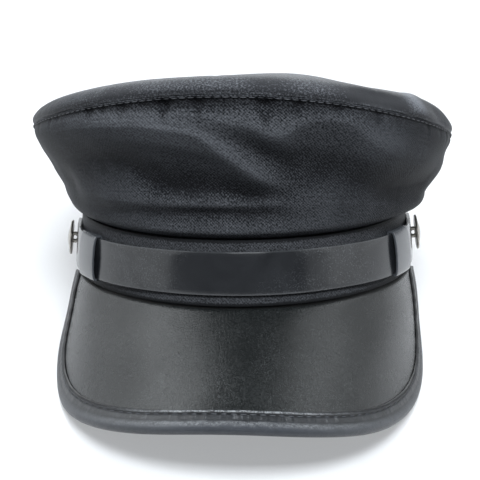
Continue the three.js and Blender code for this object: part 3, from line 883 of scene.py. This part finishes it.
# short pale scuffs on top of the grain, thickest over the middle, and painted shade, almost black, in the
# crevice where the band meets the peak
scuffed = round_front.off(0).between(0.125, 0.05) * place.noise(60, 2).between(0.25, 0.6)
scuffed = scuffed * outward.between(-0.015, 0.05)
scuffs = bent.noise(1150, 3, 0.7, 2.4).between(0.53, 0.64) * (scuffed * 0.85 + 0.15)
painted_crevice_shade = outward.between(0.0026, 0.0018)
colour = (creases * 0.5 + cells * 0.2 + clouds * 0.4).between(0.3, 0.9)
colour = colour.blend((0.0015, 0.002, 0.0021), (0.007, 0.0082, 0.0084))
colour = scuffs.tint(colour, (0.044, 0.048, 0.049))
wire_up(
    start,
    shader,
    grain,
    0.2,
    0.4,
    # painted shade in the crevice under the band
    Base_Color=(painted_crevice_shade * 0.9).tint(colour, (0.001, 0.001, 0.001)),
    Roughness=0.16 + creases * 0.12 + clouds * 0.08 + painted_crevice_shade * 0.5,
    Coat_Weight=clouds * 0.15,
)

peak = cloth_grid("peak_leather", 260, 56, place_peak)
thicken(peak, PEAK_BOARD, offset=0, rounding=0.3)
press_flat(peak)
peak.data.materials.append(grained_leather)
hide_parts("peak")
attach(peak, "root")


# The binding: a strip of the same material folded round the peak's edge. Its rim is rolled, its inner edge is
# turned under and stitched through, and the channel between them puckers.

BINDING_WALL = 0.9
BINDING_START = 0.012
BINDING_SPAN = 0.976
BINDING_RUN = 300
PUCKERS = 110

# Section from the sewn edge on top to the rolled rim and the edge underneath: distance in from the board's
# edge, and lift over the middle of the board, in mm
BINDING_IN = [9.2, 8.9, 8.3, 7.6, 7.0, 6.4, 5.2, 4.2, 3.2, 1.6, 0, -1.4, -2.1, -1.4, 0, 1.8, 5, 9]
BINDING_LIFT = [1.2, 1.75, 2.05, 1.95, 1.35, 1.75, 1.95, 2.05, 2.35]
BINDING_LIFT += [2.65, 2.6, 1.8, 0.2, -1.3, -2.0, -2.1, -2.1, -2.1]


def inward_on_peak(share):
    """The way in from the peak's edge along its surface, as angle and reach for each mm."""
    step = 0.0015
    angle, reach = peak_outline(share)
    after = peak_surface(*peak_outline(np.minimum(1, share + step)))
    tangent = after - peak_surface(*peak_outline(np.maximum(0, share - step)))
    tangent /= np.linalg.norm(tangent, axis=1, keepdims=True)
    round_, outward, normal = peak_frame(angle, reach)
    inward = np.cross(normal, tangent)
    rr, ro, oo = (round_ * round_).sum(1), (round_ * outward).sum(1), (outward * outward).sum(1)
    ri, oi = (round_ * inward).sum(1), (outward * inward).sum(1)
    whole = rr * oo - ro * ro
    return (ri * oo - oi * ro) / whole, (oi * rr - ri * ro) / whole


def pucker_lift(share, inset):
    """Short puckers across the channel, strongest at the front."""
    random = np.random.default_rng(23)
    lift = np.zeros_like(share)
    for k in range(PUCKERS):
        at = 0.02 + 0.96 * (k + random.uniform(0, 1)) / PUCKERS
        strength = random.uniform(0.08, 0.34) * (0.35 + 0.65 * math.exp(-(((at - 0.5) / 0.2) ** 2)))
        width = random.uniform(0.0012, 0.0026)
        lift += strength * bump_at(share - at, width)
    return lift * bump_at(inset - 5.4, 1.7)


def place_binding(across, up):
    share = BINDING_START + BINDING_SPAN * across
    row = up * (len(BINDING_IN) - 1)
    inset = blend_table(row, range(len(BINDING_IN)), BINDING_IN)
    lift = blend_table(row, range(len(BINDING_LIFT)), BINDING_LIFT)
    on_top = np.where(lift > 0, 1.0, 0.0)
    wave = 0.18 * np.sin(share * 190 + 2 * np.sin(share * 41)) * bump_at(inset - 8.3, 0.7)
    lift = lift + on_top * (pucker_lift(share, inset) + wave)
    angle, reach = peak_outline(share)
    angle_in, reach_in = inward_on_peak(share)
    angle = angle + angle_in * inset
    reach = reach + reach_in * inset
    normal = peak_frame(angle, reach)[2]
    points = peak_surface(angle, reach) + normal * (lift + peak_warp(angle, reach))[:, None]
    # the strip's ends run on under the band
    points[:, 2] = np.minimum(points[:, 2], -SEAM_GAP)
    return points, (share * BINDING_RUN, row), 0 * row


binding_leather, shader, start = new_material(
    "binding_leather", Specular_IOR_Level=0.5, Coat_Roughness=0.3, Coat_IOR=1.45
)
place = start.coordinates("Object")
section = start.coordinates("UV")
along = section.axis(0)
row = section.axis(1) * 1000
crinkle = place.noise(520, 4, 0.7, 2.2)
wear = place.noise(150, 4, 0.65, 1.0)
wander = place.noise(260, 3, 0.6) * 1.6 - 0.8
# by the section's rows: the turned edge lies at 1, the ridge beside it at 2, the sewn groove at 4, the
# channel from 4 to 7 and the rim from 8. The turned edge and the groove get painted shade; at the front the
# ridge and the puckers are paler, partly wear and partly painted highlight, and the rim gets a painted
# highlight.
middle = along.off(0.147)
front = middle.between(0.042, 0.02)
stitched = (along * (2 * math.pi / 0.0024)).sine().between(-0.5, 0.3) * 0.6 + 0.4
# painted shade along the turned edge, broken into dashes, and in the sewn groove
turned_edge_shade = row.between(2.5, 1.9) * (1 - front * 0.85) * stitched
groove = (row + wander * 0.5).off(4).between(0.75, 0.25)
ridge = row.off(2.1).between(1.1, 0.3)
rim = (row + wander).off(8.7).between(1.1, 0.2)
across = along.node("ShaderNodeCombineXYZ", inputs={0: along, 1: row * 0.00012})
puckers = across.noise(520, 2, 0.6, 0.6).between(0.56, 0.68) * row.between(4.3, 4.8) * row.between(7.2, 6.2)
# paler at the front: the ridge and puckers partly wear and partly painted highlight, the rim a painted
# highlight
pale = (ridge * 0.9 * crinkle.between(0.42, 0.56) + puckers * crinkle.between(0.38, 0.6) * 0.5) * front
pale = pale + rim * crinkle.between(0.4, 0.62) * middle.between(0.055, 0.02) * 0.45
roll = row.between(7.5, 9.5)
skin = crinkle * 0.3 + wear * 0.3 + roll * 0.3
colour = skin.between(0.25, 0.85).blend((0.005, 0.0058, 0.007), (0.034, 0.0385, 0.047))
colour = pale.tint(colour, (0.21, 0.22, 0.23))
colour = (groove * 0.9).tint(colour, (0.0015, 0.0015, 0.0018))
colour = (turned_edge_shade * 0.9).tint(colour, (0.0015, 0.0015, 0.0018))
wire_up(
    start,
    shader,
    crinkle + wear * 0.5,
    0.3,
    0.8,
    Base_Color=colour,
    Roughness=0.36 + crinkle * 0.14 + ridge * (1 - front) * 0.4,
    Coat_Weight=wear * 0.3,
)

binding = cloth_grid("peak_binding_leather", 800, 56, place_binding)
edit_all(binding, bpy.ops.mesh.flip_normals)
thicken(binding, BINDING_WALL)
press_flat(binding)
binding.data.materials.append(binding_leather)
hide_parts("peak_binding")
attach(binding, "root")

# The stitches in the groove, as shares of the way round the edge
GROOVE_STITCHES = 96
GROOVE_START = 0.03
GROOVE_SPAN = 0.94
shares = GROOVE_START + GROOVE_SPAN * (np.arange(GROOVE_STITCHES) + 0.5) / GROOVE_STITCHES


def on_groove(share, inset=6.9, lift=1.6):
    """Places in the groove, in from the edge and over the middle of the board by these, in mm."""
    angle, reach = peak_outline(share)
    angle_in, reach_in = inward_on_peak(share)
    angle, reach = angle + angle_in * inset, reach + reach_in * inset
    lift = lift + peak_warp(angle, reach)
    return peak_surface(angle, reach) + peak_frame(angle, reach)[2] * lift[:, None]


half = GROOVE_SPAN / GROOVE_STITCHES * 0.36
edge_angle, edge_reach = peak_outline(shares)
stitch_row(
    "binding_stitching",
    (on_groove(shares - half), on_groove(shares + half)),
    peak_frame(edge_angle, edge_reach)[2],
)


# The strap: a plain strip of smooth imitation leather across the front of the band. It lifts over the back of
# each keeper, and a slot near each end takes a button's shank.

STRAP_WIDTH = 20
STRAP_THICKNESS = 1.6
STRAP_FOOT = 5.8
STRAP_DROP = 1.6
STRAP_TAIL = 12
BUTTON_ANGLE = math.radians(86)
KEEPER_ANGLE = math.radians(58.5)
KEEPER_WALL = 1.2
SHANK_WIRE = 2.1
SHANK_SPAN = 6.2
SHANK_STAND = 2.7


def strap_stand(angle):
    """How far the strap's back stands off the band: it lifts over the back layer of each keeper."""
    turn = np.degrees(np.abs(angle))
    at = math.degrees(KEEPER_ANGLE)
    lifted = ease(turn, at - 34, at - 9) * (1 - ease(turn, at + 8, at + 22))
    return SEAM_GAP + lifted * (KEEPER_WALL + SEAM_GAP)


def strap_point(angle, up, out):
    middle = STRAP_FOOT + STRAP_WIDTH / 2 - STRAP_DROP * np.sin(angle) ** 2
    return band_point(angle, middle + up, strap_stand(angle) + out)


def place_strap(across, up):
    tail = BUTTON_ANGLE + STRAP_TAIL / BAND_HALF_DEPTH
    angle = tail * (2 * across - 1)
    to_end = (tail - np.abs(angle)) * BAND_HALF_DEPTH
    rounding = STRAP_WIDTH / 2
    half = rounding * np.sqrt(np.clip(1 - (1 - np.clip(to_end / rounding, 0, 1)) ** 2, 0.004, 1))
    height = half * (2 * up - 1)
    edge = half - np.abs(height)
    camber = -0.22 * bump_at(edge, 1.1) + 0.16 * np.sin(angle * 4.3 + 1.1) + 0.1 * np.sin(angle * 9 + up * 2)
    points = strap_point(angle, height, STRAP_THICKNESS + camber)
    # the third is paler along both edges, partly wear and partly a painted highlight
    return points, (angle * BAND_HALF_DEPTH, height), 1 - ease(edge, 0.1, 0.6)


smooth_leather, shader, start = new_material(
    "smooth_leather", Specular_IOR_Level=0.45, Coat_Roughness=0.2, Coat_IOR=1.45
)
place = start.coordinates("Object")
pores = place.noise(1500, 2, 0.6)
smears = place.noise(46, 3, 0.6, 0.8)
edge = start.node("ShaderNodeAttribute", {"attribute_name": "painted_light_and_shade"}, output=2)
specks = place.noise(1300, 2, 0.7).between(0.56, 0.66) * place.noise(30, 2).between(0.46, 0.6)
colour = (smears * 0.7 + pores * 0.3).between(0.3, 0.75).blend((0.006, 0.0066, 0.008), (0.016, 0.0175, 0.02))
# scuff specks, and the strap's paler edges, partly wear and partly a painted highlight
colour = (specks * 0.5 + edge * 0.3).between(0, 1).tint(colour, (0.075, 0.08, 0.085))
wire_up(
    start,
    shader,
    pores * 0.7 + smears * 0.6,
    0.05,
    0.3,
    Base_Color=colour,
    Roughness=0.13 + smears * 0.1 + pores * 0.04,
    Coat_Weight=smears * 0.4,
)

strap = cloth_grid("strap_leather", 300, 26, place_strap)
thicken(strap, STRAP_THICKNESS, rounding=0.35)


def button_place(side):
    """Where a button sits on the strap: its own +Z points out from the band and its own +Y up."""
    angle = np.array([side * BUTTON_ANGLE])
    middle = STRAP_FOOT + STRAP_WIDTH / 2 - STRAP_DROP * math.sin(BUTTON_ANGLE) ** 2
    step = 0.001
    around = band_point(angle + step, middle)[0] - band_point(angle - step, middle)[0]
    rising = band_point(angle, middle + 1)[0] - band_point(angle, middle - 1)[0]
    out = Vector(np.cross(around, rising)).normalized()
    across = Vector((0, 0, 1)).cross(out).normalized()
    up = out.cross(across)
    turn = Matrix((across, up, out)).transposed().to_4x4()
    at = Vector(strap_point(angle, 0, STRAP_THICKNESS + SHANK_STAND)[0]) / 1000
    return standing @ Matrix.Translation(at) @ turn


for side in (-1, 1):
    bpy.ops.mesh.primitive_cube_add(size=1)
    slot_cutter = bpy.context.object
    sizes = [SHANK_WIRE + 2 * SEAM_GAP, SHANK_SPAN + 2 * SEAM_GAP, 4 * (STRAP_THICKNESS + SHANK_STAND)]
    slot_cutter.data.transform(Matrix.Diagonal([size / 1000 for size in sizes] + [1]))
    slot_cutter.data.transform(button_place(side))
    apply_modifier(strap, "BOOLEAN", operation="DIFFERENCE", object=slot_cutter)
    bpy.data.objects.remove(slot_cutter)
strap.data.materials.append(smooth_leather)
smooth_shading(strap, 50)
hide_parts("strap")
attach(strap, "root")


# The keepers: short strips of the same leather, closed into loops round the strap, one at each side. Each is
# bowed out from the strap and hugs its upper and lower edges.

KEEPER_WIDTH = 18
KEEPER_BOW = 1.2

# the keepers' leather is the strap's coloured several times lighter, a painted highlight for their bowed
# faces
keeper_leather_painted_paler, shader, start = new_material(
    "keeper_leather_painted_paler", Specular_IOR_Level=0.75, Coat_Roughness=0.2, Coat_IOR=1.45
)
place = start.coordinates("Object")
pores = place.noise(1500, 2, 0.6)
smears = place.noise(90, 3, 0.6, 0.8)
shade = (smears * 0.7 + pores * 0.3).between(0.3, 0.75)
wire_up(
    start,
    shader,
    pores * 0.6 + smears * 0.6,
    0.05,
    0.35,
    Base_Color=shade.blend((0.03, 0.033, 0.038), (0.058, 0.063, 0.071)),
    Roughness=0.16 + smears * 0.14,
    Coat_Weight=smears * 0.4,
)


def place_keeper(side):
    """Where a keeper's loop runs: across its front, over the strap's edges and behind it."""

    def place(across, up):
        turn = 2 * math.pi * across
        half_height = STRAP_WIDTH / 2 + KEEPER_WALL
        height = -half_height * np.sign(np.cos(turn)) * np.abs(np.cos(turn)) ** 0.3
        front = np.sin(turn) < 0
        level = np.abs(np.sin(turn)) ** 0.3
        bow = KEEPER_BOW * np.maximum(0, 1 - (height / half_height) ** 2) ** 0.7
        out = np.where(
            front,
            STRAP_THICKNESS / 2 + level * (STRAP_THICKNESS / 2 + KEEPER_WALL + bow),
            STRAP_THICKNESS / 2 - level * (STRAP_THICKNESS / 2 + SEAM_GAP + KEEPER_WALL - 0.15),
        )
        angle = side * KEEPER_ANGLE + (up - 0.5) * KEEPER_WIDTH / BAND_HALF_DEPTH
        return strap_point(angle, height, out), (turn * 8, up * KEEPER_WIDTH), 0 * turn

    return place


for name, side in (("left", -1), ("right", 1)):
    keeper = cloth_grid(f"keeper_{name}_leather", 96, 14, place_keeper(side), closed=True)
    thicken(keeper, KEEPER_WALL - 0.25, rounding=0.2)
    keeper.data.materials.append(keeper_leather_painted_paler)
    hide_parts(f"keeper_{name}")
    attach(keeper, "root")


# The buttons: pressed discs of warm nickel with a low dome and a rolled rim. A wire loop is soldered to the
# back of each and goes through the strap.

BUTTON_RADIUS = 9.2
BUTTON_RIM = 0.8
BUTTON_DOME = 1.7

nickel, shader, start = new_material("warm_nickel", Metallic=1.0, Specular_IOR_Level=0.5)
place = start.coordinates("Object")
smudge = place.noise(240, 4, 0.6, 1.2)
speck = place.noise(1800, 2, 0.6)
wire_up(
    start,
    shader,
    smudge * 0.5 + speck * 0.5,
    0.04,
    0.5,
    Base_Color=smudge.between(0.3, 0.7).blend((0.27, 0.255, 0.23), (0.5, 0.48, 0.44)),
    Roughness=0.22 + smudge * 0.22,
)


def model_button(name):
    """A disc about its own origin: a cylinder whose face is inset ring by ring and raised into a bead and a
    dome, joined to a ring of wire."""
    bpy.ops.mesh.primitive_cylinder_add(
        vertices=64, radius=BUTTON_RADIUS / 1000, depth=BUTTON_RIM / 1000, location=(0, 0, BUTTON_RIM / 2000)
    )
    button = bpy.context.object
    button.name = button.data.name = name
    bpy.ops.object.transform_apply(location=True, rotation=False, scale=False)
    bpy.ops.object.mode_set(mode="EDIT")
    bpy.ops.mesh.select_all(action="DESELECT")
    bpy.ops.mesh.select_mode(type="FACE")
    bpy.ops.object.mode_set(mode="OBJECT")
    for face in button.data.polygons:
        face.select = face.normal.z > 0.9
    bpy.ops.object.mode_set(mode="EDIT")
    # rings from the rim inwards: how far in, and how far up or down, in mm
    rings = [(0.3, 0.28), (0.4, 0.12), (0.4, -0.14), (0.25, -0.2), (0.3, 0.1)]
    steps = 6
    inner = BUTTON_RADIUS - sum(step for step, _ in rings)
    for k in range(steps):
        drop = [1 - (1 - (k + i) / steps) ** 2 for i in (0, 1)]
        rings.append((inner / (steps + 0.4), (BUTTON_DOME - 0.16) * (drop[1] - drop[0])))
    for step, rise in rings:
        bpy.ops.mesh.inset(thickness=step / 1000, depth=0)
        bpy.ops.transform.translate(value=(0, 0, rise / 1000))
    bpy.ops.object.mode_set(mode="OBJECT")
    round_edges(button, 0.18, 2, 50)

    # the wire loop is a ring that stands on edge, sunk into the disc's back and through the strap
    loop_radius = (SHANK_SPAN - SHANK_WIRE) / 2
    loop_depth = SHANK_STAND + STRAP_THICKNESS - SHANK_WIRE / 2
    bpy.ops.mesh.primitive_torus_add(
        location=(0, 0, (loop_radius - loop_depth) / 1000),
        rotation=(0, math.pi / 2, 0),
        major_segments=32,
        minor_segments=14,
        major_radius=loop_radius / 1000,
        minor_radius=SHANK_WIRE / 2000,
    )
    shank = bpy.context.object
    bpy.ops.object.transform_apply(location=True, rotation=True, scale=False)
    apply_modifier(button, "BOOLEAN", operation="UNION", object=shank)
    bpy.data.objects.remove(shank)
    button.data.materials.clear()
    button.data.materials.append(nickel)
    smooth_shading(button, 35)
    return button


first_button = model_button("button_left_metal")
second_button = first_button.copy()
second_button.data = first_button.data.copy()
second_button.name = second_button.data.name = "button_right_metal"
bpy.context.collection.objects.link(second_button)
for button, name, side in ((first_button, "button_left", -1), (second_button, "button_right", 1)):
    button.data.transform(button_place(side))
    button.data.update()
    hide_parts(name)
    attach(button, "root")


# The studio: a pale acrylic floor with a round wall of haze far behind it, soft boxes on all sides, and a
# camera a little above the cap, at the photo's angle to it.

FLOOR_SIZE = 12
FLOOR_MIDDLE_Y = 2
HAZE_RADIUS = 5.9
LIT_HEIGHT = 0.08

bpy.ops.mesh.primitive_plane_add(size=FLOOR_SIZE, location=(0, FLOOR_MIDDLE_Y, 0))
floor = bpy.context.object
floor.name = "floor"
acrylic, shader, start = new_material("pale_acrylic", Specular_IOR_Level=0.2, Emission_Strength=0.4)
tooth = start.coordinates("Object").noise(900, 2)
wire_up(
    start,
    shader,
    tooth,
    0.02,
    0.2,
    Base_Color=tooth.blend((0.4, 0.405, 0.415), (0.42, 0.425, 0.435)),
    Emission_Color=tooth.blend((0.9, 0.92, 0.94), (0.92, 0.94, 0.96)),
    Roughness=0.8 + tooth * 0.1,
)
floor.data.materials.append(acrylic)
# the leather mirrors the floor, but the floor sends no light up into the matt cloth
floor.visible_diffuse = False

# The haze closes the view behind the floor in tones like its far end's, and lights nothing
bpy.ops.mesh.primitive_cylinder_add(
    vertices=96,
    radius=HAZE_RADIUS,
    depth=FLOOR_SIZE,
    end_fill_type="NOTHING",
    location=(0, FLOOR_MIDDLE_Y, FLOOR_SIZE / 2 - 0.01),
)
backdrop = bpy.context.object
backdrop.name = "backdrop"
haze, shader, start = new_material("pale_haze", Specular_IOR_Level=0.0, Emission_Strength=0.52)
cloud = start.coordinates("Object").noise(0.4, 2)
wire_up(
    start,
    shader,
    cloud,
    0.01,
    0.1,
    Base_Color=cloud.blend((0.01, 0.01, 0.01), (0.02, 0.02, 0.02)),
    Emission_Color=cloud.blend((0.93, 0.945, 0.96), (0.95, 0.965, 0.98)),
)
backdrop.data.materials.append(haze)
backdrop.visible_diffuse = backdrop.visible_glossy = backdrop.visible_shadow = False

# Each box's name, turn from straight in front and height in degrees, distance, width and height in metres,
# brightness, and what it is there for: the gloss of the leather and metal, or the matt cloth
SOFT_BOXES = [
    # name, turn, rise, distance, width, height, brightness, lights
    ("left_box", -90, 22, 1.5, 2.2, 1.5, 1.3, "gloss"),
    ("left_glow", -112, 22, 1.5, 0.55, 0.9, 1.0, "gloss"),
    ("left_high", -110, 50, 1.6, 1.3, 0.8, 3.8, "gloss"),
    ("left_wash", -80, 24, 1.6, 1.8, 1.3, 0.2, "matt"),
    ("right_box", 89, 20, 1.6, 1.75, 1.5, 1.2, "gloss"),
    ("right_high", 108, 48, 1.6, 1.3, 0.8, 2.2, "gloss"),
    ("right_wash", 84, 24, 1.7, 1.8, 1.3, 0.08, "matt"),
    ("right_edge", 55, 16, 1.6, 0.5, 1.3, 0.65, "gloss"),
    ("front_box", 4, 60, 1.7, 0.8, 0.45, 46, "matt"),
    ("front_glint", 0, 40, 1.5, 0.7, 0.25, 4, "gloss"),
    ("over_box", 180, 78, 1.7, 0.9, 0.9, 10, "matt"),
    ("back_box", 180, 20, 1.9, 2.0, 1.2, 4.2, "gloss"),
]
for name, turn, rise, distance, width, height, brightness, lights in SOFT_BOXES:
    light = bpy.data.lights.new(name, "AREA")
    light.shape = "RECTANGLE"
    light.size = width
    light.size_y = height
    light.energy = brightness * math.pi * width * height
    light.color = (0.94, 0.975, 1.0)
    lamp = bpy.data.objects.new(name, light)
    lamp.visible_diffuse = lights != "gloss"
    lamp.visible_glossy = lights != "matt"
    turn, rise = math.radians(turn), math.radians(rise)
    away = Vector((math.sin(turn) * math.cos(rise), -math.cos(turn) * math.cos(rise), math.sin(rise)))
    lamp.location = away * distance + Vector((0, 0, LIT_HEIGHT))
    lamp.rotation_euler = away.to_track_quat("Z", "Y").to_euler()
    bpy.context.collection.objects.link(lamp)

world = bpy.data.worlds.new("studio")
world.use_nodes = True
world.node_tree.nodes["Background"].inputs["Color"].default_value = (0.92, 0.95, 1.0, 1)
world.node_tree.nodes["Background"].inputs["Strength"].default_value = 0.2
bpy.context.scene.world = world
bpy.context.scene.view_settings.view_transform = "Standard"

# The camera's place, aim, roll and lens were fitted to the photo's outlines of the band and the strap
CAMERA_PLACE = Vector((-0.01337, -0.54405, 0.36704))
CAMERA_AIM = Vector((-0.00002, 0.01777, 0.04043))
CAMERA_ROLL = math.radians(1.838)
CAMERA_LENS = 89.588

camera = bpy.data.objects.new("camera", bpy.data.cameras.new("camera"))
camera.data.sensor_width = 36
camera.data.lens = CAMERA_LENS
camera.data.clip_start = 0.01
camera.location = CAMERA_PLACE
towards = (CAMERA_AIM - CAMERA_PLACE).to_track_quat("-Z", "Y")
camera.rotation_mode = "QUATERNION"
camera.rotation_quaternion = towards @ Matrix.Rotation(CAMERA_ROLL, 3, "Z").to_quaternion()
bpy.context.collection.objects.link(camera)
bpy.context.scene.camera = camera
